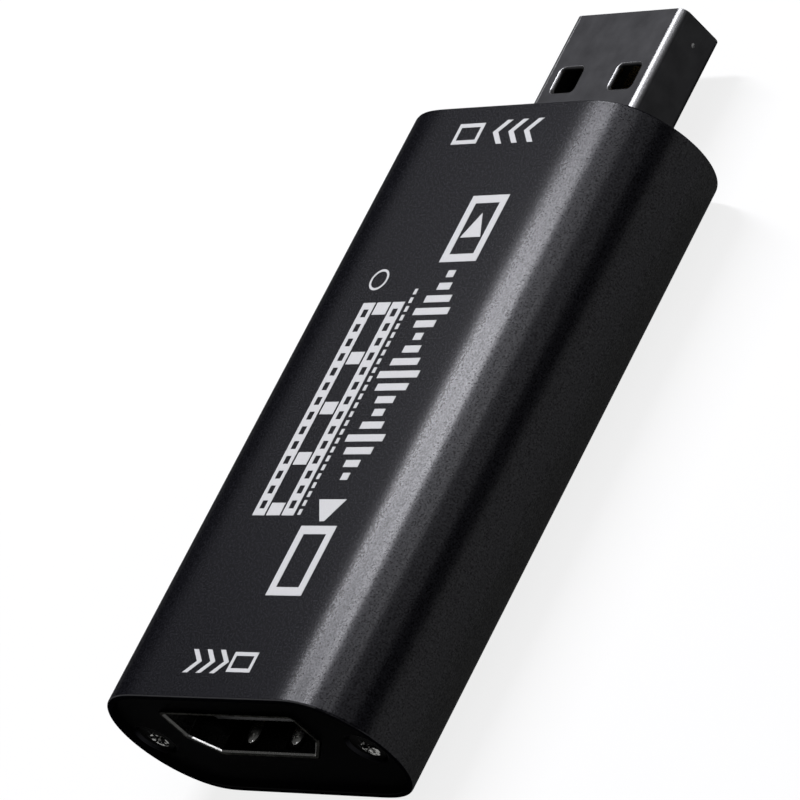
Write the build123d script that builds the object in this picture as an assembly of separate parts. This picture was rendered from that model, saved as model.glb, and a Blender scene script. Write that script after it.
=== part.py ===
from build123d import *
import os

# Video capture box, in millimetres. Its length runs along X, with the input socket at the -X end and the
# output plug at the +X end. It lies on Z = 0, printed face up, and the origin is under the middle of its
# whole length.

# Body: an extruded aluminium tube, flat above and below, with half-round sides
body_length = 52.6
body_width = 28.6
body_height = 12.6
flat_width = 17.8
wall = 1.1
rim_wall = 0.45
rim_edge_break = 0.15

# Screw channels and board rails, drawn in one piece with the tube
channel_inset = 2.65
channel_outer_radius = 1.75
channel_mouth_width = 0.7
rail_height = 0.8
rail_overlap = 0.9
board_slot_clearance = 0.15

# End plates, let into the rims of the tube
plate_thickness = 1.2
plate_recess = 0.2
plate_clearance = 0.05
opening_clearance = 0.1
plate_lip = 0.4
plate_relief = 0.45

# Countersunk screws of the end plates
thread_radius = 0.8
thread_clearance = 0.05
screw_length = 6.0
screw_head_radius = 1.5
screw_head_sink = 0.2
cross_length = 1.7
cross_width = 0.35
cross_depth = 0.5

# Circuit board
board_thickness = 1.0
board_edge_inset = 2.4
board_end_clearance = 0.2
board_corner_radius = 0.6
leg_slot_clearance = 0.15

# Input socket for a 19-contact video plug: wide side up, with cut-off lower corners
socket_width = 14.8
socket_height = 5.4
socket_corner_cut = 2.15
socket_corner_radius = 0.5
socket_sheet = 0.35
socket_setback = 0.1
socket_length = 10.6
socket_floor_length = 8.9
socket_standoff = 0.5
socket_lead_in = 0.15

# Legs of the socket's shell
socket_leg_length = 1.2
socket_front_leg_setback = 2.4
socket_rear_leg_setback = 8.3
leg_below_board = 0.6

# Retention springs in the socket's floor and ceiling
spring_spread = 4.86
spring_width = 1.3
spring_thickness = 0.25
spring_length = 6.2
spring_setback = 0.65
spring_slot = 0.25
spring_root_gap = 0.05
bump_length = 2.0
bump_width = 1.2
bump_rise = 0.4
bump_setback = 1.15

# Socket insulator and its contacts
insulator_clearance = 0.03
tongue_setback = 1.9
tongue_width = 11.0
tongue_thickness = 1.9
insulator_block_length = 3.0
insulator_foot_width = 10.0
contact_pitch = 1.0
upper_contact_count = 10
contact_width = 0.4
contact_thickness = 0.15
contact_proud = 0.05
contact_setback = 0.6
contact_foot_width = 0.3
contact_foot_length = 1.1

# Output plug: pressed and plated shell round an insulator with four contacts
plug_reach = 12.8
plug_length = 18.8
plug_width = 12.0
plug_height = 4.5
plug_sheet = 0.3
plug_edge_radius = 0.7
plug_rise = 0.37
plug_seam = 0.08
window_length = 2.2
window_width = 2.35
window_spread = 6.3
window_from_tip = 5.1
window_corner_radius = 0.35
window_edge_radius = 0.25
dimple_radius = 0.22
dimple_depth = 0.1
dimple_from_tip = 1.85
plug_tongue_thickness = 1.93
plug_tongue_setback = 0.6
plug_hollow_depth = 8.7
plug_contact_width = 1.0
plug_contact_thickness = 0.15
plug_contact_places = (3.5, 1.0)
plug_contact_setback = 0.8
plug_foot_length = 1.2
plug_wing_length = 1.6
plug_wing_reach = 1.6
plug_wing_setback = 1.0
plug_notch_clearance = 0.2

# Solder round the legs, under the board
solder_spread = 0.35
solder_height = 0.45

# Parts on the board, and the room between those that stand side by side
part_gap = 0.9
chip_size = 7.0
chip_height = 1.4
chip_standoff = 0.1
chip_lead_reach = 1.0
chip_lead_pitch = 0.5
chip_leads_per_side = 12
chip_lead_width = 0.22
chip_edge_break = 0.15
lead_sheet = 0.12
pin_mark_radius = 0.4
pin_mark_depth = 0.1

memory_width = 3.9
memory_length = 4.9
memory_height = 1.45
memory_lead_reach = 1.05
memory_lead_pitch = 1.27
memory_leads_per_side = 4
memory_lead_width = 0.41

regulator_width = 1.6
regulator_length = 2.9
regulator_height = 1.1
regulator_lead_reach = 0.6
regulator_lead_pitch = 0.95
regulator_leads_per_side = 3
regulator_lead_width = 0.4
regulator_count = 2

surge_width = 1.2
surge_length = 2.5
surge_height = 0.6
surge_lead_reach = 0.4
surge_lead_pitch = 0.5
surge_leads_per_side = 5
surge_lead_width = 0.2
surge_count = 4

crystal_length = 2.5
crystal_width = 2.0
crystal_base_height = 0.5
crystal_lid_height = 0.3
crystal_lid_margin = 0.15

inductor_size = 4.0
inductor_height = 1.8
inductor_corner_radius = 0.6
tantalum_length = 3.5
tantalum_width = 2.8
tantalum_height = 1.8
pad_length = 0.8
pad_thickness = 0.1

capacitor_length = 1.6
capacitor_width = 0.8
capacitor_terminal = 0.35
capacitor_row_count = 4
resistor_length = 1.0
resistor_width = 0.5
resistor_height = 0.35
resistor_terminal = 0.2
resistor_row_count = 8

# How far a cut runs past the face that it leaves
overrun = 0.5

# Planes along the length
input_x = -(body_length + plug_reach) / 2
output_x = input_x + body_length
tip_x = output_x + plug_reach
plate_seat = plate_recess + plate_thickness

# Heights
middle_z = body_height / 2
board_top = middle_z - channel_outer_radius - board_slot_clearance
board_bottom = board_top - board_thickness
leg_bottom = board_bottom - leg_below_board

# Screw channels: on the tube's middle plane, one at each side
channel_y = body_width / 2 - channel_inset
channel_radius = thread_radius + thread_clearance

# Board edges
board_half_width = body_width / 2 - board_edge_inset
board_start = input_x + plate_seat + board_end_clearance
board_end = output_x - plate_seat - board_end_clearance

# Socket planes
socket_x = input_x + socket_setback
socket_rear = socket_x + socket_length
socket_bottom = board_top + socket_standoff
socket_top = socket_bottom + socket_height
socket_shoulder = socket_bottom + socket_corner_cut
cavity_floor = socket_bottom + socket_sheet
cavity_ceiling = socket_top - socket_sheet
cavity_middle = (cavity_floor + cavity_ceiling) / 2
spring_root = socket_x + spring_setback + spring_length
tongue_bottom = cavity_middle - tongue_thickness / 2
tongue_top = cavity_middle + tongue_thickness / 2
contact_rear = socket_rear + contact_thickness
socket_feet_end = contact_rear + contact_foot_length

# Plug planes
plug_middle = board_top + plug_rise
plug_rear = tip_x - plug_length
plug_inner_bottom = plug_middle - plug_height / 2 + plug_sheet
plug_tongue_top = plug_inner_bottom + plug_tongue_thickness
plug_wing_x = plug_rear + plug_wing_setback
plug_leg_y = plug_width / 2 + plug_wing_reach
plug_feet_end = plug_rear - plug_contact_thickness - plug_foot_length

# The parts along the board, evenly spaced from the socket's feet to the plug's
surge_span = surge_width + 2 * surge_lead_reach
chip_span = chip_size + 2 * chip_lead_reach
memory_span = memory_width + 2 * memory_lead_reach
spans = (surge_span, resistor_width, inductor_size, chip_span, memory_span)
row_gap = (plug_feet_end - socket_feet_end - sum(spans)) / (len(spans) + 1)
surge_x = socket_feet_end + row_gap + surge_span / 2
resistor_x = surge_x + (surge_span + resistor_width) / 2 + row_gap
power_x = resistor_x + (resistor_width + inductor_size) / 2 + row_gap
chip_x = power_x + (inductor_size + chip_span) / 2 + row_gap
supply_x = chip_x + (chip_span + memory_span) / 2 + row_gap

# The parts beside the capture chip stand midway between its leads and the screw channels
beside_chip_y = (chip_span / 2 + channel_y - channel_outer_radius) / 2


def block(x, y, z):
    """A box between a pair of planes along each of X, Y and Z."""
    centre = Pos(sum(x) / 2, sum(y) / 2, sum(z) / 2)
    return centre * Box(abs(x[1] - x[0]), abs(y[1] - y[0]), abs(z[1] - z[0]))


def along_x(section, start, end):
    """A section drawn in the YZ plane, as a bar from start to end."""
    return extrude(Plane.YZ.offset(start) * section, amount=end - start)


def group(pieces):
    """Separate pieces, kept as separate solids of one sub-part."""
    return Compound([solid for piece in pieces for solid in piece.solids()])


def both_sides(piece):
    """A piece and its mirror image across the XZ plane."""
    return [piece, piece.mirror(Plane.XZ)]


def turned(piece, inward):
    """A piece drawn for the -X end, turned end for end where inward is -1."""
    return piece if inward > 0 else Rot(0, 0, 180) * piece


def body_outline(inset):
    """Section of the body, drawn in by inset: two flats joined by half-ellipses."""
    half_height = body_height / 2 - inset
    side_width = (body_width - flat_width) / 2 - inset
    with BuildSketch() as section:
        with BuildLine():
            right = EllipticalCenterArc((flat_width / 2, middle_z), side_width, half_height, -90, arc_size=180)
            left = EllipticalCenterArc((-flat_width / 2, middle_z), side_width, half_height, 90, arc_size=180)
            Line(right @ 1, left @ 0)
            Line(left @ 1, right @ 0)
        make_face()
    return section.sketch


def socket_outline(grow):
    """Section of the input socket, grown outwards by grow."""
    half = socket_width / 2
    foot = half - socket_corner_cut
    corners = [
        (-half, socket_top),
        (-half, socket_shoulder),
        (-foot, socket_bottom),
        (foot, socket_bottom),
        (half, socket_shoulder),
        (half, socket_top),
    ]
    outline = make_face(Polyline(*corners, close=True).edges())
    outline = fillet(outline.vertices(), socket_corner_radius)
    return offset(outline, grow) if grow else outline


def plug_outline(grow):
    """Section of the output plug, grown outwards by grow."""
    width = plug_width + 2 * grow
    height = plug_height + 2 * grow
    return Pos(0, plug_middle) * RectangleRounded(width, height, plug_edge_radius + grow)


def housing_shell():
    """The tube with its screw channels, board rails and recessed ends."""
    outer = body_outline(0)
    section = outer - body_outline(wall)
    rail_inner = board_half_width - rail_overlap
    for side in (-1, 1):
        channel_centre = Pos(side * channel_y, middle_z)
        rail_width = body_width / 2 - rail_inner
        rail_place = Pos(side * (rail_inner + rail_width / 2), board_bottom - rail_height / 2)
        section += channel_centre * Circle(channel_outer_radius)
        section += (rail_place * Rectangle(rail_width, rail_height)) & outer
        section -= channel_centre * Circle(channel_radius)
        section -= Pos(side * (channel_y - channel_outer_radius / 2), middle_z) * Rectangle(
            channel_outer_radius + channel_radius, channel_mouth_width
        )
    tube = along_x(section, input_x, output_x)
    seat = body_outline(rim_wall)
    tube -= along_x(seat, input_x, input_x + plate_seat)
    tube -= along_x(seat, output_x - plate_seat, output_x)
    ends = tube.faces().sort_by(Axis.X)
    rim_edges = ends[0].outer_wire().edges() + ends[-1].outer_wire().edges()
    return chamfer(rim_edges, rim_edge_break)


def end_plate(face_x, inward, opening):
    """A plate in the tube's end. Its outer face is at face_x, and inward is the sign of X into the tube."""
    back_x = face_x + inward * plate_thickness
    section = body_outline(rim_wall + plate_clearance) - opening
    for side in (-1, 1):
        section -= Pos(side * channel_y, middle_z) * Circle(channel_radius)
    plate = along_x(section, min(face_x, back_x), max(face_x, back_x))
    sink_radius = screw_head_radius + screw_head_sink + thread_clearance
    sink_depth = sink_radius - channel_radius
    cone_profile = make_face(Polyline((0, 0), (0, sink_radius), (sink_depth, channel_radius),
                                      (sink_depth, 0), close=True).edges())
    sink = revolve(cone_profile, Axis.X)
    for side in (-1, 1):
        plate -= Pos(face_x, side * channel_y, middle_z) * turned(sink, inward)
    return plate


def input_end_plate():
    """The socket's plate. Its opening widens behind the lip, so that the socket's springs can flex."""
    face_x = input_x + plate_recess
    plate = end_plate(face_x, 1, socket_outline(opening_clearance))
    relief = socket_outline(opening_clearance + plate_relief)
    return plate - along_x(relief, face_x + plate_lip, face_x + plate_thickness)


def output_end_plate():
    """The plug's plate."""
    return end_plate(output_x - plate_recess, -1, plug_outline(opening_clearance))


def end_screws(face_x, inward):
    """The two screws of a plate: countersunk heads with a cross, in the tube's channels."""
    taper = screw_head_radius - thread_radius
    profile = make_face(Polyline((0, 0), (0, screw_head_radius), (taper, thread_radius),
                                 (screw_length, thread_radius), (screw_length, 0), close=True).edges())
    screw = revolve(profile, Axis.X)
    half_length, half_width = cross_length / 2, cross_width / 2
    recess = (-overrun, cross_depth)
    screw -= block(recess, (-half_length, half_length), (-half_width, half_width))
    screw -= block(recess, (-half_width, half_width), (-half_length, half_length))
    screw = turned(screw, inward)
    head_x = face_x + inward * screw_head_sink
    return group([Pos(head_x, side * channel_y, middle_z) * screw for side in (-1, 1)])


def socket_leg_spans():
    """The X spans of the socket's front and rear legs."""
    starts = (socket_x + socket_front_leg_setback, socket_x + socket_rear_leg_setback)
    return [(start, start + socket_leg_length) for start in starts]


def leg_footprints():
    """The X and Y spans, on the +Y side, of every leg that passes through the board."""
    socket_span = (socket_width / 2 - socket_sheet, socket_width / 2)
    plug_span = (plug_leg_y - plug_sheet, plug_leg_y)
    places = [(span, socket_span) for span in socket_leg_spans()]
    return places + [((plug_wing_x, plug_wing_x + plug_wing_length), plug_span)]


def circuit_board():
    """The board, with its notch for the plug and its slots for the legs."""
    board = block((board_start, board_end), (-board_half_width, board_half_width), (board_bottom, board_top))
    board = fillet(board.edges().filter_by(Axis.Z), board_corner_radius)
    notch = plug_width / 2 + plug_notch_clearance
    through = (board_bottom - overrun, board_top + overrun)
    board -= block((plug_rear - plug_notch_clearance, board_end + overrun), (-notch, notch), through)
    for x, y in leg_footprints():
        slot_x = (x[0] - leg_slot_clearance, x[1] + leg_slot_clearance)
        slot_y = (y[0] - leg_slot_clearance, y[1] + leg_slot_clearance)
        for slot in both_sides(block(slot_x, slot_y, through)):
            board -= slot
    return board


def leg_solder_joints():
    """A cone of solder round each leg, under the board."""
    joints = []
    for x, y in leg_footprints():
        leg = block(x, y, (leg_bottom, board_top))
        width, depth = abs(x[1] - x[0]), abs(y[1] - y[0])
        base = Rectangle(width + 2 * (solder_spread + leg_slot_clearance),
                         depth + 2 * (solder_spread + leg_slot_clearance))
        crown = Rectangle(width + leg_slot_clearance, depth + leg_slot_clearance)
        place = Pos(sum(x) / 2, sum(y) / 2, board_bottom)
        cone = loft([base.face(), (Pos(0, 0, -solder_height) * crown).face()])
        joints += both_sides(place * cone - leg)
    return group(joints)


def input_socket_shell():
    """Pressed steel shell of the input socket, with spring windows and four legs."""
    shell = along_x(socket_outline(0), socket_x, socket_rear)
    shell -= along_x(socket_outline(-socket_sheet), socket_x - overrun, socket_rear + overrun)
    mouth = shell.faces().sort_by(Axis.X)[0].inner_wires()[0]
    shell = chamfer(mouth.edges(), socket_lead_in)
    half = socket_width / 2
    floor_end = socket_x + socket_floor_length
    shell -= block((floor_end, socket_rear + overrun), (-half, half), (socket_bottom - overrun, socket_shoulder))
    window_start = socket_x + spring_setback - spring_slot
    window_half = spring_width / 2 + spring_slot
    for centre in (-spring_spread / 2, spring_spread / 2):
        shell -= block((window_start, spring_root + spring_root_gap), (centre - window_half, centre + window_half),
                       (socket_bottom - overrun, cavity_floor + overrun))
        shell -= block((window_start, spring_root + spring_root_gap), (centre - window_half, centre + window_half),
                       (cavity_ceiling - overrun, socket_top + overrun))
    for span in socket_leg_spans():
        leg = block(span, (half - socket_sheet, half), (leg_bottom, socket_shoulder + socket_corner_radius))
        for one in both_sides(leg):
            shell += one
    return shell


def retention_spring():
    """A spring tongue: its root end at the origin, its length towards -X, its bump above Z = 0."""
    half = spring_width / 2
    strip = block((-spring_length, 0), (-half, half), (-spring_thickness, 0))
    strip = fillet(strip.edges().filter_by(Axis.Z).sort_by(Axis.X)[:2], half - spring_slot)
    bump = scale(Sphere(1), by=(bump_length / 2, bump_width / 2, bump_rise))
    bump &= block((-bump_length, bump_length), (-bump_width, bump_width), (-spring_thickness, bump_rise))
    return strip + Pos(bump_setback - spring_length, 0, 0) * bump


def floor_springs():
    """The two springs in the socket's floor, bumps up."""
    spring = retention_spring()
    return group([Pos(spring_root, side * spring_spread / 2, cavity_floor) * spring for side in (-1, 1)])


def ceiling_springs():
    """The two springs in the socket's ceiling, bumps down."""
    spring = retention_spring().mirror(Plane.XY)
    return group([Pos(spring_root, side * spring_spread / 2, cavity_ceiling) * spring for side in (-1, 1)])


def socket_contact(y, strip_z):
    """A contact of the input socket: strip along the tongue, drop behind the insulator, foot on the board."""
    strip_span = (y - contact_width / 2, y + contact_width / 2)
    foot_span = (y - contact_foot_width / 2, y + contact_foot_width / 2)
    start = socket_x + tongue_setback + contact_setback
    contact = block((start, contact_rear), strip_span, (strip_z, strip_z + contact_thickness))
    contact += block((socket_rear, contact_rear), foot_span, (board_top, strip_z + contact_thickness))
    contact += block((socket_rear, socket_feet_end), foot_span, (board_top, board_top + contact_thickness))
    return contact


def contact_row(count, strip_z):
    """A row of contacts on the pitch, about the middle plane."""
    first = -(count - 1) * contact_pitch / 2
    return [socket_contact(first + i * contact_pitch, strip_z) for i in range(count)]


def upper_contacts():
    """The contacts on the tongue's upper face."""
    return group(contact_row(upper_contact_count, tongue_top + contact_proud - contact_thickness))


def lower_contacts():
    """The contacts on the tongue's lower face, half a pitch from the upper ones."""
    return group(contact_row(upper_contact_count - 1, tongue_bottom - contact_proud))


def input_socket_insulator():
    """Moulded block that closes the socket's rear, with the tongue that carries the contacts."""
    block_start = socket_rear - insulator_block_length
    insulator = along_x(socket_outline(-socket_sheet - insulator_clearance), block_start, socket_rear)
    tongue_half = tongue_width / 2
    tongue_start = socket_x + tongue_setback
    insulator += block((tongue_start, block_start), (-tongue_half, tongue_half), (tongue_bottom, tongue_top))
    foot_half = insulator_foot_width / 2
    foot_start = socket_x + socket_floor_length + insulator_clearance
    insulator += block((foot_start, socket_rear), (-foot_half, foot_half), (board_top, cavity_middle))
    groove_half = contact_width / 2 + insulator_clearance
    groove_start = tongue_start + contact_setback - insulator_clearance
    rows = (
        (upper_contact_count, tongue_top + contact_proud - contact_thickness),
        (upper_contact_count - 1, tongue_bottom - contact_proud),
    )
    for count, strip_z in rows:
        first = -(count - 1) * contact_pitch / 2
        for i in range(count):
            y = first + i * contact_pitch
            insulator -= block((groove_start, socket_rear + overrun), (y - groove_half, y + groove_half),
                               (strip_z, strip_z + contact_thickness))
    return insulator


def output_plug_shell():
    """Pressed shell of the output plug, with latch windows, a seam beneath, side dimples and board wings."""
    shell = along_x(plug_outline(0), plug_rear, tip_x)
    shell -= along_x(plug_outline(-plug_sheet), plug_rear - overrun, tip_x + overrun)
    bottom, top = plug_middle - plug_height / 2, plug_middle + plug_height / 2
    window = Box(window_length, window_width, plug_height + 2 * overrun)
    window = fillet(window.edges().filter_by(Axis.Z), window_corner_radius)
    window_x = tip_x - window_from_tip - window_length / 2
    for side in (-1, 1):
        shell -= Pos(window_x, side * window_spread / 2, plug_middle) * window
    upper, lower = shell.faces().sort_by(Axis.Z)[-1], shell.faces().sort_by(Axis.Z)[0]
    rims = [edge for face in (upper, lower) for wire in face.inner_wires() for edge in wire.edges()]
    shell = fillet(rims, window_edge_radius)
    for side in (-1, 1):
        dimple_out = (dimple_radius**2 - dimple_depth**2) / (2 * dimple_depth)
        dimple = Sphere(dimple_out + dimple_depth)
        shell -= Pos(tip_x - dimple_from_tip, side * (plug_width / 2 + dimple_out), plug_middle) * dimple
    seam = plug_seam / 2
    shell -= block((plug_rear - overrun, tip_x + overrun), (-seam, seam), (bottom - overrun, bottom + plug_sheet + seam))
    wing_x = (plug_wing_x, plug_wing_x + plug_wing_length)
    wing = block(wing_x, (plug_width / 2 - plug_sheet, plug_leg_y), (board_top, board_top + plug_sheet))
    leg = block(wing_x, (plug_leg_y - plug_sheet, plug_leg_y), (leg_bottom, board_top + plug_sheet))
    for one in both_sides(wing + leg):
        shell += one
    return shell


def output_plug_insulator():
    """Moulded insulator of the plug: a tongue along the lower half, and a block that closes the rear."""
    full = along_x(plug_outline(-plug_sheet - insulator_clearance), plug_rear, tip_x - plug_tongue_setback)
    hollow_start = tip_x - plug_hollow_depth
    half = plug_width / 2
    hollow = block((hollow_start, tip_x), (-half, half), (plug_tongue_top, plug_middle + plug_height / 2))
    insulator = full - hollow
    groove_half = plug_contact_width / 2 + insulator_clearance
    groove_z = (plug_tongue_top + contact_proud - plug_contact_thickness, plug_tongue_top + contact_proud)
    groove_x = (plug_rear - overrun, tip_x - plug_tongue_setback - plug_contact_setback + insulator_clearance)
    for place in plug_contact_places:
        for groove in both_sides(block(groove_x, (place - groove_half, place + groove_half), groove_z)):
            insulator -= groove
    return insulator


def output_plug_contacts():
    """The plug's four contacts: strips along the tongue, with a foot on the board behind the plug."""
    strip_top = plug_tongue_top + contact_proud
    contact_end = tip_x - plug_tongue_setback - plug_contact_setback
    drop_x = plug_rear - plug_contact_thickness
    contacts = []
    for place in plug_contact_places:
        span = (place - plug_contact_width / 2, place + plug_contact_width / 2)
        contact = block((drop_x, contact_end), span, (strip_top - plug_contact_thickness, strip_top))
        contact += block((drop_x, plug_rear), span, (board_top, strip_top))
        contact += block((plug_feet_end, plug_rear), span, (board_top, board_top + plug_contact_thickness))
        contacts += both_sides(contact)
    return group(contacts)


def moulded_body(length_x, length_y, height):
    """A moulded chip body that stands just over the board, with broken upper edges and a pin mark."""
    body = block((-length_x / 2, length_x / 2), (-length_y / 2, length_y / 2), (chip_standoff, height))
    body = chamfer(body.faces().sort_by(Axis.Z)[-1].edges(), chip_edge_break)
    mark_inset = pin_mark_radius + 2 * chip_edge_break
    mark = Cylinder(pin_mark_radius, 2 * pin_mark_depth)
    return body - Pos(mark_inset - length_x / 2, mark_inset - length_y / 2, height) * mark


def bent_lead(reach, rise, width):
    """A lead that leaves a body's side at X = 0, steps down and ends in a foot on the board."""
    span = (-width / 2, width / 2)
    knee = reach / 2
    lead = block((0, knee), span, (rise, rise + lead_sheet))
    lead += block((knee - lead_sheet, knee), span, (0, rise + lead_sheet))
    return lead + block((knee - lead_sheet, reach), span, (0, lead_sheet))


def lead_row(lead, count, pitch, half_body, angle):
    """Leads on the pitch along one side of a body, turned about the body's centre by angle."""
    first = -(count - 1) * pitch / 2
    return [Rot(0, 0, angle) * Pos(half_body, first + i * pitch, 0) * lead for i in range(count)]


def on_board(x, y, pieces):
    """Pieces drawn about the origin, placed on the board's upper face."""
    return [Pos(x, y, board_top) * piece for piece in pieces]


def spread_places(count, pitch):
    """Places on the pitch, about zero."""
    return [(i - (count - 1) / 2) * pitch for i in range(count)]


def capture_chip():
    """The square capture chip's moulded body."""
    return group(on_board(chip_x, 0, [moulded_body(chip_size, chip_size, chip_height)]))


def capture_chip_leads():
    """The capture chip's leads, on all four sides."""
    lead = bent_lead(chip_lead_reach, chip_height / 2, chip_lead_width)
    leads = []
    for angle in (0, 90, 180, 270):
        leads += lead_row(lead, chip_leads_per_side, chip_lead_pitch, chip_size / 2, angle)
    return group(on_board(chip_x, 0, leads))


def memory_place():
    """Where the memory chip stands, beside the voltage regulators."""
    return supply_x, part_gap / 2 + memory_length / 2


def memory_chip():
    """The memory chip's moulded body."""
    return group(on_board(*memory_place(), [moulded_body(memory_width, memory_length, memory_height)]))


def memory_chip_leads():
    """The memory chip's leads, on its two long sides."""
    lead = bent_lead(memory_lead_reach, memory_height / 2, memory_lead_width)
    leads = []
    for angle in (0, 180):
        leads += lead_row(lead, memory_leads_per_side, memory_lead_pitch, memory_width / 2, angle)
    return group(on_board(*memory_place(), leads))


def regulator_places():
    """Centres of the voltage regulators, in a row away from the memory chip."""
    pitch = regulator_length + part_gap
    return [(supply_x, -(part_gap / 2 + regulator_length / 2 + i * pitch)) for i in range(regulator_count)]


def voltage_regulators():
    """The regulators' moulded bodies."""
    body = moulded_body(regulator_width, regulator_length, regulator_height)
    return group([piece for x, y in regulator_places() for piece in on_board(x, y, [body])])


def voltage_regulator_leads():
    """The regulators' leads."""
    lead = bent_lead(regulator_lead_reach, regulator_height / 2, regulator_lead_width)
    leads = []
    for angle in (0, 180):
        leads += lead_row(lead, regulator_leads_per_side, regulator_lead_pitch, regulator_width / 2, angle)
    return group([piece for x, y in regulator_places() for piece in on_board(x, y, leads)])


def surge_places():
    """Centres of the surge arrays, in a row behind the socket's feet."""
    return [(surge_x, y) for y in spread_places(surge_count, surge_length + part_gap)]


def surge_arrays():
    """The surge arrays' moulded bodies."""
    body = block((-surge_width / 2, surge_width / 2), (-surge_length / 2, surge_length / 2),
                 (chip_standoff, surge_height))
    return group([piece for x, y in surge_places() for piece in on_board(x, y, [body])])


def surge_array_leads():
    """The surge arrays' leads."""
    lead = bent_lead(surge_lead_reach, surge_height / 2, surge_lead_width)
    leads = []
    for angle in (0, 180):
        leads += lead_row(lead, surge_leads_per_side, surge_lead_pitch, surge_width / 2, angle)
    return group([piece for x, y in surge_places() for piece in on_board(x, y, leads)])


def crystal_place():
    """Where the crystal stands, beside the capture chip."""
    return chip_x, beside_chip_y


def crystal_base():
    """The crystal's ceramic base."""
    base = block((-crystal_length / 2, crystal_length / 2), (-crystal_width / 2, crystal_width / 2),
                 (0, crystal_base_height))
    return group(on_board(*crystal_place(), [base]))


def crystal_lid():
    """The crystal's metal lid."""
    half_length = crystal_length / 2 - crystal_lid_margin
    half_width = crystal_width / 2 - crystal_lid_margin
    lid = block((-half_length, half_length), (-half_width, half_width),
                (crystal_base_height, crystal_base_height + crystal_lid_height))
    lid = fillet(lid.edges().filter_by(Axis.Z), 2 * crystal_lid_margin)
    return group(on_board(*crystal_place(), [lid]))


def end_pads(length, width):
    """The two solder pads under the ends of a moulded part."""
    pad_y = (-width / 2, width / 2)
    return [block((side * length / 2, side * (length / 2 - pad_length)), pad_y, (0, pad_thickness))
            for side in (-1, 1)]


def inductor_place():
    """Where the power inductor stands."""
    return power_x, -(part_gap + inductor_size / 2 + capacitor_length / 2)


def power_inductor():
    """The shielded power inductor."""
    half = inductor_size / 2
    core = block((-half, half), (-half, half), (pad_thickness, inductor_height))
    core = fillet(core.edges().filter_by(Axis.Z), inductor_corner_radius)
    return group(on_board(*inductor_place(), [core]))


def inductor_pads():
    """The inductor's pads."""
    return group(on_board(*inductor_place(), end_pads(inductor_size, inductor_size - 2 * inductor_corner_radius)))


def tantalum_place():
    """Where the tantalum capacitor stands."""
    return power_x, part_gap + tantalum_width / 2 + capacitor_length / 2


def tantalum_capacitor():
    """The tantalum capacitor's moulded body."""
    half_length, half_width = tantalum_length / 2, tantalum_width / 2
    body = block((-half_length, half_length), (-half_width, half_width), (pad_thickness, tantalum_height))
    body = chamfer(body.faces().sort_by(Axis.Z)[-1].edges(), chip_edge_break)
    return group(on_board(*tantalum_place(), [body]))


def tantalum_pads():
    """The tantalum capacitor's pads."""
    return group(on_board(*tantalum_place(), end_pads(tantalum_length, tantalum_width - part_gap)))


def capacitor_places():
    """Places of the ceramic capacitors: a row beside the chip, a pair by the crystal, one by the inductor."""
    pitch = capacitor_width + part_gap
    places = [(chip_x + x, -beside_chip_y) for x in spread_places(capacitor_row_count, pitch)]
    beside_crystal = crystal_length / 2 + part_gap + capacitor_width / 2
    places += [(chip_x + side * beside_crystal, beside_chip_y) for side in (-1, 1)]
    return places + [(power_x, 0)]


def resistor_places():
    """Places of the chip resistors, in a row behind the surge arrays."""
    pitch = resistor_length + part_gap
    return [(resistor_x, y) for y in spread_places(resistor_row_count, pitch)]


def chip_bodies(places, length, width, height, terminal):
    """Ceramic bodies of end-capped parts that lie along Y."""
    half = length / 2 - terminal
    body = block((-width / 2, width / 2), (-half, half), (0, height))
    return group([piece for x, y in places for piece in on_board(x, y, [body])])


def chip_terminals(places, length, width, height, terminal):
    """End caps of parts that lie along Y."""
    caps = [block((-width / 2, width / 2), (side * (length / 2 - terminal), side * length / 2), (0, height))
            for side in (-1, 1)]
    return group([piece for x, y in places for piece in on_board(x, y, caps)])


def ceramic_capacitors():
    return chip_bodies(capacitor_places(), capacitor_length, capacitor_width, capacitor_width, capacitor_terminal)


def capacitor_terminals():
    return chip_terminals(capacitor_places(), capacitor_length, capacitor_width, capacitor_width,
                          capacitor_terminal)


def chip_resistors():
    return chip_bodies(resistor_places(), resistor_length, resistor_width, resistor_height, resistor_terminal)


def resistor_terminals():
    return chip_terminals(resistor_places(), resistor_length, resistor_width, resistor_height,
                          resistor_terminal)


def report_places():
    """Prints the planes that the record names."""
    print("ends", input_x, output_x, tip_x)
    print("board", board_start, board_end, board_bottom, board_top, "half width", board_half_width)
    print("socket", socket_x, socket_rear, "cavity", cavity_floor, cavity_ceiling, "feet end", socket_feet_end)
    print("spring root", spring_root, "floor", cavity_floor, "ceiling", cavity_ceiling)
    print("plug middle", plug_middle, "rear", plug_rear, "feet end", plug_feet_end)
    print("parts along the board", surge_x, resistor_x, power_x, chip_x, supply_x)


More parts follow.
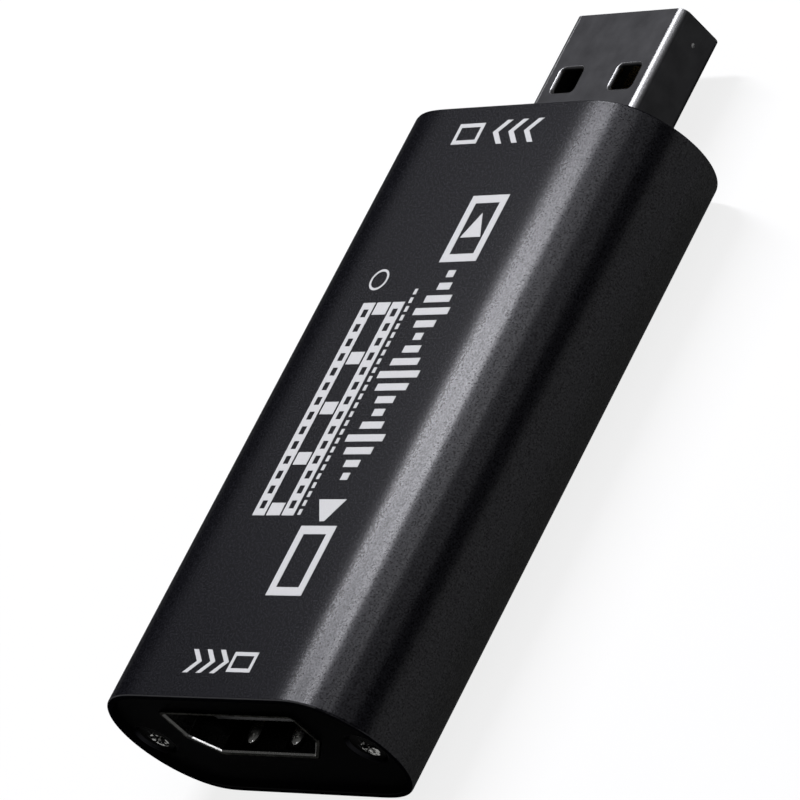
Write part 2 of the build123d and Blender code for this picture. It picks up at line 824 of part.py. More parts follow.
sub_parts = {
    "housing_shell": housing_shell(),
    "input_end_plate": input_end_plate(),
    "output_end_plate": output_end_plate(),
    "input_end_screws": end_screws(input_x + plate_recess, 1),
    "output_end_screws": end_screws(output_x - plate_recess, -1),
    "circuit_board": circuit_board(),
    "leg_solder_joints": leg_solder_joints(),
    "input_socket_shell": input_socket_shell(),
    "input_socket_insulator": input_socket_insulator(),
    "input_socket_upper_contacts": upper_contacts(),
    "input_socket_lower_contacts": lower_contacts(),
    "input_socket_floor_springs": floor_springs(),
    "input_socket_ceiling_springs": ceiling_springs(),
    "output_plug_shell": output_plug_shell(),
    "output_plug_insulator": output_plug_insulator(),
    "output_plug_contacts": output_plug_contacts(),
    "capture_chip": capture_chip(),
    "capture_chip_leads": capture_chip_leads(),
    "memory_chip": memory_chip(),
    "memory_chip_leads": memory_chip_leads(),
    "voltage_regulators": voltage_regulators(),
    "voltage_regulator_leads": voltage_regulator_leads(),
    "surge_arrays": surge_arrays(),
    "surge_array_leads": surge_array_leads(),
    "crystal_base": crystal_base(),
    "crystal_lid": crystal_lid(),
    "power_inductor": power_inductor(),
    "inductor_pads": inductor_pads(),
    "tantalum_capacitor": tantalum_capacitor(),
    "tantalum_pads": tantalum_pads(),
    "ceramic_capacitors": ceramic_capacitors(),
    "capacitor_terminals": capacitor_terminals(),
    "chip_resistors": chip_resistors(),
    "resistor_terminals": resistor_terminals(),
}

os.makedirs("parts", exist_ok=True)
for name, piece in sub_parts.items():
    export_step(piece, f"parts/{name}.step")
report_places()
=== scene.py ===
from math import cos, pi, radians, sin

import bmesh
import bpy
from mathutils import Matrix, Vector


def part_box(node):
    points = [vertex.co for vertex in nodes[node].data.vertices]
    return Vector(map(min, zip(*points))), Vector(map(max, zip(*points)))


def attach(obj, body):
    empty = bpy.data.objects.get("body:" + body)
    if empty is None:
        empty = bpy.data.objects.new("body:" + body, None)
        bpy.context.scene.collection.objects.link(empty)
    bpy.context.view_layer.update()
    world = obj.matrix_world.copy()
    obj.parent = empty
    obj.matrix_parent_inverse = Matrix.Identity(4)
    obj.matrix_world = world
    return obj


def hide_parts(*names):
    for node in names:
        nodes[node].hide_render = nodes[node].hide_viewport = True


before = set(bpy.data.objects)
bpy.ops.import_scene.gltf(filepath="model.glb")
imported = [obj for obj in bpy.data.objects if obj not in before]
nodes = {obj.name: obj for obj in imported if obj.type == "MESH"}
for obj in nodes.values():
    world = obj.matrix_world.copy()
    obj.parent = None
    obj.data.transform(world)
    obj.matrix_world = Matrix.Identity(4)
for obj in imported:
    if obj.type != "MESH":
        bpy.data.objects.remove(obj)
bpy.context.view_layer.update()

# Circuit board: glass-filled laminate under green solder mask, with a notch for the plug and slots for the legs.
# It slides into the tube on two rails. Copper tracks show as paler lines under the mask, and the sawn edges are
# bare laminate.
MM = 0.001


class Wire:
    """An output socket of a material's nodes, with Python's arithmetic and comparisons on it."""

    def __init__(self, tree, socket=None):
        self.tree = tree
        self.socket = socket

    def node(self, kind, settings=(), inputs=(), output=0):
        """Adds a node: its settings first, then the values or wires of its sockets."""
        made = self.tree.nodes.new("ShaderNode" + kind)
        for name, value in dict(settings).items():
            setattr(made, name, value)
        for name, value in dict(inputs).items():
            if isinstance(value, Wire):
                self.tree.links.new(value.socket, made.inputs[name])
            else:
                made.inputs[name].default_value = value
        return Wire(self.tree, made.outputs[output])

    def math(self, operation, *values):
        return self.node("Math", {"operation": operation}, enumerate(values))

    def __add__(self, other):
        return self.math("ADD", self, other)

    def __sub__(self, other):
        return self.math("SUBTRACT", self, other)

    def __rsub__(self, other):
        return self.math("SUBTRACT", other, self)

    def __mul__(self, other):
        return self.math("MULTIPLY", self, other)

    def __lt__(self, other):
        return self.math("LESS_THAN", self, other)

    def __gt__(self, other):
        return self.math("GREATER_THAN", self, other)

    def __abs__(self):
        return self.math("ABSOLUTE", self)


def finish(name, **constants):
    """A material whose constants are set on its shader's own sockets, and a wire to build its pattern on."""
    material = bpy.data.materials.new(name)
    material.use_nodes = True
    shader = material.node_tree.nodes["Principled BSDF"]
    for socket, value in constants.items():
        shader.inputs[socket.replace("_", " ")].default_value = value
    return material, Wire(material.node_tree)


def feed(socket, wire):
    """Links a wire to a socket of its material's shader."""
    wire.tree.links.new(wire.socket, wire.tree.nodes["Principled BSDF"].inputs[socket])


def place(wire):
    """The point of the piece, in millimetres."""
    point = wire.node("TexCoord", output="Object")
    return wire.node("VectorMath", {"operation": "SCALE"}, {0: point, "Scale": 1 / MM})


def axes(wire):
    """The point's X, Y and Z, in millimetres."""
    split = wire.node("SeparateXYZ", {}, {0: place(wire)})
    return [Wire(wire.tree, output) for output in split.socket.node.outputs]


def noise(wire, size, detail=0.0):
    """Soft noise from 0 to 1, with features of a size in millimetres."""
    return wire.node("TexNoise", {}, {"Vector": place(wire), "Scale": 1 / size, "Detail": detail})


def mixed(factor, first, second):
    """A colour between two, by a factor."""
    colours = {0: factor, 6: first if isinstance(first, Wire) else (*first, 1),
               7: second if isinstance(second, Wire) else (*second, 1)}
    return factor.node("Mix", {"data_type": "RGBA"}, colours, output=2)


def relief(height, depth):
    """Bumps of a depth in millimetres, as the shader's normal."""
    feed("Normal", height.node("Bump", {}, {"Height": height, "Distance": depth * MM}))


def dress(material, *names):
    """Gives CAD nodes a finish."""
    for name in names:
        nodes[name].data.materials.clear()
        nodes[name].data.materials.append(material)


board_low, board_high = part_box("circuit_board")
board_middle = (board_low.z + board_high.z) / 2 / MM
board_half = (board_high.z - board_low.z) / 2 / MM
board_mask, wire = finish("board_mask", Roughness=0.32, Coat_Roughness=0.15)
along, across, height = axes(wire)
track_pitch, track_width, track_wander, track_bend = 0.4, 0.14, 3.0, 6.0
tracks = wire.math("PINGPONG", across + noise(wire, track_bend) * track_wander, track_pitch) < track_width
bare_patch, bare_below = 9.0, 0.48
tracks = tracks * (noise(wire, bare_patch) > bare_below)
mask_thickness, glass_pitch, glass_rise = 0.01, 0.25, 4.0
face = abs(height - board_middle) > board_half - mask_thickness
weave = wire.math("PINGPONG", along, glass_pitch) * wire.math("PINGPONG", across, glass_pitch)
green = mixed(tracks, (0.012, 0.085, 0.035), (0.02, 0.16, 0.06))
feed("Base Color", mixed(face, (0.33, 0.3, 0.16), green))
feed("Coat Weight", face * 0.6)
relief(weave * glass_rise + tracks, 0.03)
dress(board_mask, "circuit_board")

# Solder, leads and end caps: tin-based solder wetted up round each leg of the socket and the plug, and the same
# bright tin on the feet of the chips and on the ends of the small parts. It cooled with a faint orange peel.
tin, wire = finish("bright_tin", Metallic=1.0)
feed("Base Color", mixed(noise(wire, 0.3, 2.0), (0.5, 0.5, 0.49), (0.68, 0.68, 0.66)))
feed("Roughness", noise(wire, 0.15, 2.0) * 0.3 + 0.15)
relief(noise(wire, 0.12, 1.0), 0.02)
dress(tin, "leg_solder_joints", "capture_chip_leads", "memory_chip_leads", "voltage_regulator_leads",
      "surge_array_leads", "inductor_pads", "tantalum_pads", "capacitor_terminals", "resistor_terminals")

# Chips: black moulding resin with a dull, finely pitted skin. The capture chip is square with leads on all four
# sides, the memory chip has them on two, and the regulators and surge arrays are small ones of the same kind.
resin, wire = finish("moulding_resin", Roughness=0.55)
feed("Base Color", mixed(noise(wire, 0.08, 2.0), (0.018, 0.018, 0.02), (0.035, 0.035, 0.038)))
relief(noise(wire, 0.06, 2.0), 0.01)
dress(resin, "capture_chip", "memory_chip", "voltage_regulators", "surge_arrays")

# Crystal: a fired ceramic base with a seam-welded metal lid, soldered beside the capture chip. The lid's weld
# leaves it slightly brushed, and the ceramic is chalky and brown.
ceramic, wire = finish("crystal_ceramic", Roughness=0.7)
feed("Base Color", mixed(noise(wire, 0.1, 2.0), (0.4, 0.33, 0.24), (0.55, 0.48, 0.38)))
relief(noise(wire, 0.05, 2.0), 0.01)
dress(ceramic, "crystal_base")
lid_metal, wire = finish("crystal_lid_metal", Metallic=1.0)
along, across, height = axes(wire)
brush_stretch, brush_lines = 0.05, 40.0
drawn_out = wire.node("CombineXYZ", {}, {0: along * brush_stretch, 1: across, 2: height})
brushed = wire.node("TexNoise", {}, {"Vector": drawn_out, "Scale": brush_lines, "Detail": 2.0})
feed("Base Color", mixed(brushed, (0.6, 0.56, 0.48), (0.74, 0.7, 0.62)))
feed("Roughness", brushed * 0.2 + 0.2)
dress(lid_metal, "crystal_lid")

# Power inductor: a pressed ferrite block round its winding, dark grey and gritty, beside the tantalum capacitor,
# which is a mustard moulding with a stripe of darker print at its positive end.
ferrite, wire = finish("pressed_ferrite", Roughness=0.75)
feed("Base Color", mixed(noise(wire, 0.12, 3.0), (0.05, 0.05, 0.055), (0.12, 0.12, 0.125)))
relief(noise(wire, 0.1, 3.0), 0.03)
dress(ferrite, "power_inductor")
mustard, wire = finish("mustard_resin", Roughness=0.45)
along, across, height = axes(wire)
tantalum_low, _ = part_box("tantalum_capacitor")
stripe_width = 0.9
stripe = along < tantalum_low.x / MM + stripe_width
feed("Base Color", mixed(stripe, (0.55, 0.33, 0.06), (0.16, 0.08, 0.02)))
relief(noise(wire, 0.08, 2.0), 0.01)
dress(mustard, "tantalum_capacitor")

# Ceramic capacitors and chip resistors: tan ceramic blocks, and thin slabs with a glazed black film on top, all
# with tinned ends. They stand in rows by the chips that they serve.
tan, wire = finish("tan_ceramic", Roughness=0.5)
feed("Base Color", mixed(noise(wire, 0.15, 2.0), (0.42, 0.27, 0.14), (0.52, 0.36, 0.2)))
dress(tan, "ceramic_capacitors")
glaze, wire = finish("resistor_glaze", Roughness=0.3, Coat_Weight=0.3)
along, across, height = axes(wire)
resistor_slab = 0.3
film = height > board_high.z / MM + resistor_slab
feed("Base Color", mixed(film, (0.7, 0.69, 0.66), (0.012, 0.012, 0.014)))
dress(glaze, "chip_resistors")

# Contacts: stamped strips of spring bronze, plated with gold. Ten lie above and nine below the socket's tongue,
# and four along the plug's. Their feet are soldered to the board.
gold, wire = finish("contact_gold", Metallic=1.0)
feed("Base Color", mixed(noise(wire, 0.4, 2.0), (0.8, 0.56, 0.22), (0.9, 0.68, 0.32)))
feed("Roughness", noise(wire, 0.2, 2.0) * 0.15 + 0.2)
dress(gold, "input_socket_upper_contacts", "input_socket_lower_contacts", "output_plug_contacts")

# Insulators: black glass-filled mouldings that carry the contacts, one closing the socket's rear and one filling
# the lower half of the plug. Their edges are moulded with a small radius.
MERGE, LEVEL_ANGLE, SHARP_ANGLE = 0.0005, radians(0.3), radians(30)


def softened(node, width):
    """A merged copy of a CAD node's mesh, with its sharp edges broken by a width in millimetres."""
    shape = bmesh.new()
    shape.from_mesh(nodes[node].data)
    bmesh.ops.remove_doubles(shape, verts=shape.verts, dist=MERGE * MM)
    bmesh.ops.dissolve_limit(shape, angle_limit=LEVEL_ANGLE, verts=shape.verts, edges=shape.edges)
    sharp = [edge for edge in shape.edges if edge.is_manifold and edge.calc_face_angle() > SHARP_ANGLE]
    bmesh.ops.bevel(shape, geom=sharp, offset=width * MM, segments=2, profile=0.5, affect="EDGES", material=-1,
                    clamp_overlap=True)
    return shape


def piece(name, shape, material, node=None, smooth=35):
    """A piece of the box from its bmesh, with its finish, its body and the CAD node that it stands for."""
    mesh = bpy.data.meshes.new(name)
    shape.to_mesh(mesh)
    shape.free()
    mesh.polygons.foreach_set("use_smooth", [True] * len(mesh.polygons))
    mesh.set_sharp_from_angle(angle=radians(smooth))
    mesh.materials.append(material)
    made = bpy.data.objects.new(name, mesh)
    bpy.context.scene.collection.objects.link(made)
    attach(made, "capture_box")
    if node:
        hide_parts(node)
        even = made.modifiers.new("even_faces", "WEIGHTED_NORMAL")
        even.keep_sharp = True


glass_filled, wire = finish("glass_filled_black", Roughness=0.5)
feed("Base Color", mixed(noise(wire, 0.2, 2.0), (0.014, 0.014, 0.014), (0.024, 0.024, 0.024)))
relief(noise(wire, 0.08, 2.0), 0.008)
piece("socket_insulator", softened("input_socket_insulator", 0.04), glass_filled,
      "input_socket_insulator")
piece("plug_insulator", softened("output_plug_insulator", 0.05), glass_filled,
      "output_plug_insulator")

# Input socket: a sheet-steel shell bent to shape and nickel-plated, wide side up with cut-off lower corners. Two
# pairs of springs with pressed bumps, cut free of its floor and ceiling, grip the cable's plug.
nickel, wire = finish("socket_nickel", Metallic=1.0, Specular_Tint=(0.3, 0.3, 0.3, 1))
socket_low, socket_high = (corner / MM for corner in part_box("input_socket_shell"))
along, across, height = axes(wire)
spring_y, spring_reach, cavity_drop, cavity_reach = 2.43, 0.62, 2.7, 2.3
bumps = (abs(abs(across) - spring_y) < spring_reach) * (abs(height - (socket_high.z - cavity_drop)) < cavity_reach)
mouth_in, mouth_reach, mouth_drop = 0.1, 0.07, 3.4
mouth_edge = (abs(along - (socket_low.x + mouth_in)) < mouth_reach) * (height < socket_high.z - mouth_drop)
# The spring bumps and the lower edge of the mouth get bright plating: partly rubbed by the plug, partly a painted
# highlight.
rubbed_and_highlight = wire.math("MAXIMUM", bumps, mouth_edge)
plating = mixed(noise(wire, 0.9, 2.0), (0.03, 0.03, 0.029), (0.075, 0.075, 0.072))
feed("Base Color", mixed(rubbed_and_highlight, plating, (0.6, 0.6, 0.58)))
feed("Roughness", noise(wire, 0.3, 2.0) * 0.16 + 0.2)
relief(noise(wire, 0.5, 1.0), 0.006)
piece("socket_shell", softened("input_socket_shell", 0.05), nickel, "input_socket_shell")
dress(nickel, "input_socket_floor_springs", "input_socket_ceiling_springs")

# Output plug: a strip of steel pressed round its insulator until the ends meet in a seam underneath, then
# nickel-plated. Two latch windows are punched through each broad face, and a dimple is pressed in each side.
plug_plate, wire = finish("plug_nickel", Specular_IOR_Level=0.0, Specular_Tint=(0.12, 0.12, 0.12, 1))
plug_low, plug_high = (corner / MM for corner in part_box("output_plug_insulator"))
along, across, height = axes(wire)
plug_end, plug_middle = plug_high.x + 0.6, (plug_low.z + plug_high.z) / 2
off_y = abs(across) - plug_high.y
off_z = abs(height - plug_middle) - (plug_high.z - plug_low.z) / 2
# The masks below mark where the plating is painted brighter and more metallic: along the long edges, round the
# windows and in the side dimples, a painted highlight.
edge_start, edge_gain, edge_reach = 0.1, 4.0, 0.4
corner = (off_z + edge_start) * edge_gain
corner = wire.math("MINIMUM", wire.math("MAXIMUM", corner, 0.0), 1.0) * (off_y > -edge_reach)
window_back, window_half_length, window_y, window_half_width, skin = 6.2, 1.4, 3.15, 1.5, 0.327
window = abs(along - (plug_end - window_back)) < window_half_length
window = window * (abs(abs(across) - window_y) < window_half_width) * (off_z < skin)
dimple_back, dimple_radius_squared = 1.85, 0.04
pit_x, pit_z = along - (plug_end - dimple_back), height - plug_middle
dimple = pit_x * pit_x + pit_z * pit_z < dimple_radius_squared
painted_highlight = wire.math("MAXIMUM", wire.math("MAXIMUM", corner, window), dimple)
tarnish = mixed(noise(wire, 1.6, 4.0), (0.025, 0.025, 0.026), (0.058, 0.058, 0.06))
feed("Base Color", mixed(painted_highlight, tarnish, (0.14, 0.14, 0.14)))
feed("Metallic", painted_highlight * 0.7 + 0.22)
feed("Roughness", noise(wire, 0.5, 3.0) * 0.08 + 0.28)
relief(noise(wire, 0.25, 2.0), 0.003)
piece("plug_shell", softened("output_plug_shell", 0.06), plug_plate, "output_plug_shell")

# Housing: one length of extruded aluminium tube, flat above and below, with rounded sides that the flats run into
# softly. Inside are the two screw channels and the two rails of the board, and each end is turned out to seat its
# plate. It is sandblasted to a fine grain and anodised black. A lighter band round the upper and lower rims at
# each end is partly wear and partly a painted highlight, and the end faces are left without the coat, a painted
# shade that keeps them from reflecting.
shell_low, shell_high = (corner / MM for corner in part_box("housing_shell"))
TUBE_LENGTH, TUBE_HEIGHT = shell_high.x - shell_low.x, shell_high.z - shell_low.z
HALF_FLAT, SIDE_BULGE, SIDE_STEPS, FLAT_CUTS, SOFTENING = 8.7, 5.6, 48, 44, 12
TUBE_WALL, RIM_WALL, RIM_ROUND, PLATE_SEAT = 1.1, 0.45, 0.15, 1.4
CHANNEL_Y, CHANNEL_BORE, CHANNEL_OUTER, CHANNEL_STEPS = 11.65, 0.85, 1.75, 32
CHANNEL_MOUTH = radians(24.0)
RAIL_Y, RAIL_Z, RAIL_WIDTH, RAIL_HEIGHT = 11.7, 3.0, 1.4, 0.8
TOUCH = 0.001


def at(x=0, y=0, z=0):
    """A move in millimetres."""
    return Matrix.Translation(Vector((x, y, z)) * MM)


def corners_in(geometry):
    """The vertices among what a bmesh operator made."""
    return [item for item in geometry if isinstance(item, bmesh.types.BMVert)]


def push(shape, geometry, x):
    """Moves the vertices among what an operator made along the box, in millimetres."""
    bmesh.ops.translate(shape, vec=Vector((x, 0, 0)) * MM, verts=corners_in(geometry))


tube = bmesh.new()
crest = bmesh.ops.create_vert(tube, co=Vector((shell_low.x, -HALF_FLAT, TUBE_HEIGHT)) * MM)["vert"]
bmesh.ops.spin(tube, geom=crest, cent=Vector((0, -HALF_FLAT, TUBE_HEIGHT / 2)) * MM, axis=(1, 0, 0), angle=pi,
               steps=SIDE_STEPS, use_duplicate=False)
bmesh.ops.scale(tube, vec=(1, SIDE_BULGE / (TUBE_HEIGHT / 2), 1), space=at(y=HALF_FLAT), verts=tube.verts)
bmesh.ops.mirror(tube, geom=tube.verts[:] + tube.edges[:], axis="Y", merge_dist=0)
for level in (0, TUBE_HEIGHT):
    gap = [vert for vert in tube.verts if abs(vert.co.z / MM - level) < TOUCH]
    flat = bmesh.ops.contextual_create(tube, geom=gap)["edges"]
    bmesh.ops.subdivide_edges(tube, edges=flat, cuts=FLAT_CUTS)
for _ in range(SOFTENING):
    bmesh.ops.smooth_vert(tube, verts=tube.verts, factor=0.5, use_axis_y=True, use_axis_z=True)
reach = max(vert.co.y for vert in tube.verts) / MM
bmesh.ops.scale(tube, vec=(1, shell_high.y / reach, 1), verts=tube.verts)
drawn = bmesh.ops.extrude_edge_only(tube, edges=tube.edges)["geom"]
push(tube, drawn, TUBE_LENGTH)
open_edges = []
for x, inward in ((shell_low.x, 1), (shell_high.x, -1)):
    loop = [edge for edge in tube.edges if edge.is_boundary and abs(edge.verts[0].co.x / MM - x) < TOUCH]
    bmesh.ops.contextual_create(tube, geom=loop)
    bmesh.ops.recalc_face_normals(tube, faces=tube.faces)
    bmesh.ops.bevel(tube, geom=loop, offset=RIM_ROUND * MM, segments=3, profile=0.5, affect="EDGES", material=-1)
    cap = [max(tube.faces, key=lambda face: len(face.verts))]
    bmesh.ops.inset_region(tube, faces=cap, thickness=(RIM_WALL - RIM_ROUND) * MM, use_even_offset=True)
    seat = bmesh.ops.extrude_face_region(tube, geom=cap)["geom"]
    bmesh.ops.delete(tube, geom=cap, context="FACES")
    push(tube, seat, inward * PLATE_SEAT)
    floor_face = [item for item in seat if isinstance(item, bmesh.types.BMFace)]
    bmesh.ops.inset_region(tube, faces=floor_face, thickness=(TUBE_WALL - RIM_WALL) * MM, use_even_offset=True)
    open_edges += floor_face[0].edges[:]
    bmesh.ops.delete(tube, geom=floor_face, context="FACES_ONLY")
bmesh.ops.bridge_loops(tube, edges=open_edges)
bmesh.ops.recalc_face_normals(tube, faces=tube.faces)

lip_y = CHANNEL_Y - CHANNEL_BORE * cos(CHANNEL_MOUTH)
lip_z = CHANNEL_BORE * sin(CHANNEL_MOUTH) + TUBE_HEIGHT / 2
channel_length = -2 * PLATE_SEAT + TUBE_LENGTH
for side in (-1, 1):
    channel = bmesh.new()
    lip = bmesh.ops.create_vert(channel, co=Vector((PLATE_SEAT + shell_low.x, lip_y, lip_z)) * MM)["vert"]
    bmesh.ops.spin(channel, geom=lip, cent=Vector((0, CHANNEL_Y, TUBE_HEIGHT / 2)) * MM, axis=(1, 0, 0),
                   angle=2 * CHANNEL_MOUTH - 2 * pi, steps=CHANNEL_STEPS, use_duplicate=False)
    grown = bmesh.ops.extrude_edge_only(channel, edges=channel.edges)["geom"]
    bmesh.ops.scale(channel, vec=(1, CHANNEL_OUTER / CHANNEL_BORE, CHANNEL_OUTER / CHANNEL_BORE),
                    space=at(y=-CHANNEL_Y, z=-TUBE_HEIGHT / 2), verts=corners_in(grown))
    push(channel, bmesh.ops.extrude_face_region(channel, geom=channel.faces[:])["geom"], channel_length)
    if side < 0:
        bmesh.ops.scale(channel, vec=(1, -1, 1), verts=channel.verts)
    rail = bmesh.ops.create_cube(channel, size=MM)["verts"]
    bmesh.ops.scale(channel, vec=(channel_length, RAIL_WIDTH, RAIL_HEIGHT), verts=rail)
    rail_middle = Vector(((shell_low.x + shell_high.x) / 2, side * RAIL_Y, RAIL_Z))
    bmesh.ops.translate(channel, vec=rail_middle * MM, verts=rail)
    bmesh.ops.recalc_face_normals(channel, faces=channel.faces)
    joined = bpy.data.meshes.new("channel")
    channel.to_mesh(joined)
    channel.free()
    tube.from_mesh(joined)
    bpy.data.meshes.remove(joined)

anodised, wire = finish("blasted_anodising", Metallic=0.33, Specular_IOR_Level=0.0, Coat_IOR=4.0,
                        Coat_Roughness=0.235, Coat_Tint=(0.98, 0.98, 1, 1), Specular_Tint=(0.03, 0.03, 0.035, 1))
along, across, height = axes(wire)
grain_size, grain_gain, grain_floor = 0.14, 2.4, 0.7
sparkle = noise(wire, grain_size, 1.0) * grain_gain - grain_floor
# The rim band is partly wear and partly a painted highlight; the end faces lose the coat, a painted shade.
end_shade_depth, rim_start, rim_stop, rim_height = 0.02, 0.03, 0.11, 5.4
from_end = TUBE_LENGTH / 2 - abs(along - (shell_low.x + shell_high.x) / 2)
rim_wear_and_highlight = (from_end > rim_start) * (from_end < rim_stop) * (abs(height - TUBE_HEIGHT / 2) > rim_height)
dyed = mixed(sparkle, (0.001, 0.001, 0.002), (0.009, 0.009, 0.0115))
feed("Base Color", mixed(rim_wear_and_highlight, dyed, (0.06, 0.06, 0.062)))
feed("Roughness", noise(wire, 0.4, 2.0) * 0.06 + 0.375)
# No coat on the end faces: a painted shade that keeps them from reflecting.
feed("Coat Weight", (sparkle * 0.025 + 0.0225) * (from_end > end_shade_depth))
relief(noise(wire, 0.15, 1.0), 0.001)
piece("housing_tube", tube, anodised, "housing_shell", smooth=40)

# End plates: stamped from aluminium sheet, deburred and finished in smoother black. Each is let into the tube's
# end, round the socket or the plug, and its two screw holes are countersunk.
plate_black, wire = finish("plate_black", Metallic=1.0, Specular_Tint=(0.35, 0.35, 0.35, 1))
feed("Base Color", mixed(noise(wire, 0.15, 2.0), (0.004, 0.004, 0.0045), (0.009, 0.009, 0.01)))
feed("Roughness", noise(wire, 0.2, 2.0) * 0.12 + 0.3)
relief(noise(wire, 0.09, 2.0), 0.006)
for end in ("input", "output"):
    piece(end + "_plate", softened(end + "_end_plate", 0.06), plate_black, end + "_end_plate")

# Screws: small countersunk cross-heads, black-plated, with bright flecks painted in and below the cross as a
# painted highlight. They pull each plate against the tube and cut their own thread in the channels.
screw_black, wire = finish("screw_black", Metallic=1.0, Specular_Tint=(0.4, 0.4, 0.4, 1))
along, across, height = axes(wire)
glint_drop, glint_radius_squared, glint_share = 0.35, 0.6, 0.5
off_y, off_z = abs(across) - CHANNEL_Y, height - TUBE_HEIGHT / 2 + glint_drop
# Painted highlight: bright flecks on each head, set a little below the cross.
painted_highlight = (off_y * off_y + off_z * off_z < glint_radius_squared) * (noise(wire, 0.3, 2.0) > glint_share)
feed("Base Color", mixed(painted_highlight, (0.012, 0.012, 0.012), (0.4, 0.4, 0.385)))
feed("Roughness", noise(wire, 0.15, 2.0) * 0.2 + 0.25)
for end in ("input", "output"):
    piece(end + "_screws", softened(end + "_end_screws", 0.05), screw_black, end + "_end_screws")

# Printed marks: white screen-printing ink on the upper flat. Chevrons and an outline point out the socket and the
# plug. Between them are a strip of film, a small ring and a fine broken line, and beside these a camera, a
# picture signal and a screen.
INK = 0.02
print_ink, wire = finish("print_ink", Roughness=0.55)
feed("Base Color", mixed(noise(wire, 0.12, 2.0), (0.43, 0.43, 0.43), (0.53, 0.53, 0.53)))
relief(noise(wire, 0.1, 2.0), 0.006)
marks = bmesh.new()


def patch(*points):
    """A flat patch of ink between points, in millimetres from the middle of the flat."""
    corners = [bmesh.ops.create_vert(marks, co=Vector((*point, TUBE_HEIGHT)) * MM)["vert"][0] for point in points]
    bmesh.ops.contextual_create(marks, geom=corners)


def bar(x, y, length, width):
    """A rectangle of ink about a point."""
    near, far, low, high = x - length / 2, x + length / 2, y - width / 2, y + width / 2
    patch((near, low), (far, low), (far, high), (near, high))


def box_line(x, y, length, width, stroke):
    """The outline of a rectangle about a point."""
    for way in (-1, 1):
        bar(x, y + way * (width - stroke) / 2, length, stroke)
        bar(x + way * (length - stroke) / 2, y, stroke, width - 2 * stroke)


def ring(x, y, radius, stroke):
    """A ring of ink about a point."""
    rim = bmesh.ops.create_circle(marks, radius=radius * MM, segments=40, matrix=at(x, y, TUBE_HEIGHT))["verts"]
    outline = list(dict.fromkeys(edge for vert in rim for edge in vert.link_edges))
    grown = bmesh.ops.extrude_edge_only(marks, edges=outline)["geom"]
    share = (radius - stroke) / radius
    bmesh.ops.scale(marks, vec=(share, share, 1), space=at(-x, -y, -TUBE_HEIGHT), verts=corners_in(grown))


def chevron(x, y, reach, height, stroke):
    """A chevron with its point at +Y or, with a negative reach and stroke, at -Y."""
    half = height / 2
    for way in (-1, 1):
        patch((x, y + reach / 2), (x + way * half, y - reach / 2), (x + way * half, y - reach / 2 - stroke),
              (x, y + reach / 2 - stroke))


SOCKET_MARK_X, PLUG_MARK_X, PICTURE_Y = -29.6, 17.3, -3.0
for step in range(3):
    chevron(SOCKET_MARK_X, 2.6 - 1.5 * step, -1.0, 2.0, -0.55)
    chevron(PLUG_MARK_X, -3.3 + 1.7 * step, 1.0, 2.2, 0.6)
box_line(SOCKET_MARK_X, -2.4, 1.7, 2.6, 0.32)
box_line(PLUG_MARK_X, 3.3, 1.9, 2.8, 0.36)

film_start, film_end, film_low, film_high = -17.0, 1.9, 0.45, 5.05
film_length, film_line = film_end - film_start, 0.4
for inset in (0.2, 1.15):
    for y in (film_low + inset, film_high - inset):
        bar((film_start + film_end) / 2, y, film_length, film_line)
film_gaps, tooth_inset, tooth_length, tooth_width = 14, 0.675, 0.6, 0.55
for step in range(film_gaps + 1):
    x = film_start + tooth_length / 2 + step * (film_length - tooth_length) / film_gaps
    for y in (film_low + tooth_inset, film_high - tooth_inset):
        bar(x, y, tooth_length, tooth_width)
frame_count, frame_bar, frame_width = 4, 1.1, 1.5
for step in range(frame_count + 1):
    x = film_start + frame_bar / 2 + step * (film_length - frame_bar) / frame_count
    bar(x, (film_low + film_high) / 2, frame_bar, frame_width)

ring(4.0, 4.7, 0.95, 0.2)
dash_count, dash_pitch, dash_length, dash_width = 26, 0.78, 0.5, 0.34
for step in range(dash_count):
    bar(-16.7 + step * dash_pitch, -0.1, dash_length, dash_width)

box_line(-20.9, PICTURE_Y, 6.0, 3.9, 0.72)
patch((-17.5, -2.75), (-15.6, -1.5), (-15.6, -4.5), (-17.5, -3.25))
signal_pitch, signal_width = 1.12, 0.62
signal = (0.8, 1.6, 3.0, 4.1, 2.4, 1.2, 2.0, 3.4, 4.4, 3.0, 1.8, 0.9, 2.2, 3.8, 2.8, 1.4, 0.8)
for step, tall in enumerate(signal):
    bar(-13.6 + step * signal_pitch, PICTURE_Y, signal_width, tall)
box_line(8.4, PICTURE_Y, 6.0, 4.0, 0.7)
patch((7.6, -1.9), (9.8, PICTURE_Y), (7.6, -4.1))
raised = bmesh.ops.extrude_face_region(marks, geom=marks.faces[:])["geom"]
bmesh.ops.translate(marks, vec=(0, 0, INK * MM), verts=corners_in(raised))
bmesh.ops.recalc_face_normals(marks, faces=marks.faces)
piece("printed_marks", marks, print_ink)

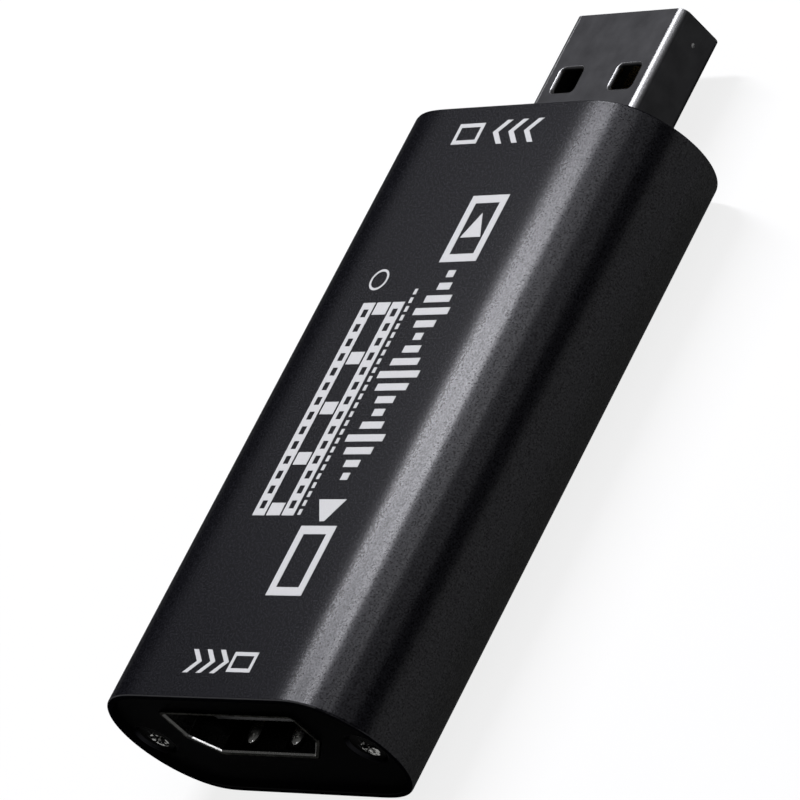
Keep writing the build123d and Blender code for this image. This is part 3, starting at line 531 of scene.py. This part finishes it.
# Studio: a white sheet of paper under the box, a strong key lamp above its far side, a weak one in front and a
# weaker one lower on the near side, a small card of light beyond the socket's end, and the camera where the
# photographer stood. The paper glows white only to the camera and in what mirrors it.
PAPER_SIZE, PAPER_DROP = 3.0, 0.02
paper, wire = finish("studio_paper", Roughness=1.0, Specular_IOR_Level=0.0, Emission_Strength=0.83)
feed("Base Color", mixed(noise(wire, 40.0), (0.135, 0.135, 0.135), (0.145, 0.145, 0.145)))
rays = wire.node("LightPath")
seen = wire.math("MAXIMUM", rays, Wire(wire.tree, rays.socket.node.outputs["Is Glossy Ray"]))
seen = wire.math("MAXIMUM", seen, Wire(wire.tree, rays.socket.node.outputs["Is Transmission Ray"]))
feed("Emission Color", mixed(seen, (0, 0, 0), (1, 1, 1)))
sweep = bmesh.new()
bmesh.ops.create_grid(sweep, x_segments=1, y_segments=1, size=PAPER_SIZE)
floor_mesh = bpy.data.meshes.new("studio_floor")
sweep.to_mesh(floor_mesh)
sweep.free()
floor_mesh.materials.append(paper)
floor_mesh.transform(at(z=-PAPER_DROP))
studio_floor = bpy.data.objects.new("studio_floor", floor_mesh)
bpy.context.scene.collection.objects.link(studio_floor)


def lamp(name, towards, breadth, length, power):
    """A soft rectangular lamp, a metre from the box in some direction, facing it, its length across the box."""
    light = bpy.data.lights.new(name, "AREA")
    light.shape = "RECTANGLE"
    light.size, light.size_y, light.energy = breadth, length, power
    light.color = (0.95, 0.95, 1.0)
    made = bpy.data.objects.new(name, light)
    bpy.context.scene.collection.objects.link(made)
    towards = Vector(towards).normalized()
    across = towards.cross((1, 0, 0)).normalized()
    made.matrix_world = Matrix.Translation(towards) @ Matrix(
        (across.cross(towards), across, towards)).transposed().to_4x4()


lamp("key_softbox", (0.387, 0.367, 0.8455), 0.085, 0.74, 12.2)
lamp("front_softbox", (0.387, -0.165, 0.907), 0.1, 0.8, 2.4)
lamp("low_softbox", (0.387, -0.665, 0.638), 0.1, 0.62, 0.5)
lamp("side_card", (-0.9, -0.2, 0.38), 0.15, 0.15, 0.6)
world = bpy.data.worlds.new("studio_air")
world.use_nodes = True
air = world.node_tree.nodes["Background"].inputs
air["Color"].default_value = (1, 1, 1, 1)
air["Strength"].default_value = 0.07
bpy.context.scene.world = world

camera_data = bpy.data.cameras.new("camera")
camera_data.sensor_width = 36.0
camera_data.lens = 302.45
camera = bpy.data.objects.new("camera", camera_data)
bpy.context.scene.collection.objects.link(camera)
right = Vector((0.426, -0.6614, -0.6173)).normalized()
back = -Vector((0.3873, 0.75, -0.5362)).normalized()
up = back.cross(right).normalized()
camera.matrix_world = Matrix.Translation(Vector((-193.95, -366.74, 271.49)) * MM) @ Matrix(
    (right, up, back)).transposed().to_4x4()
camera_data.clip_end = 20.0
bpy.context.scene.camera = camera
bpy.context.scene.view_settings.view_transform = "Standard"
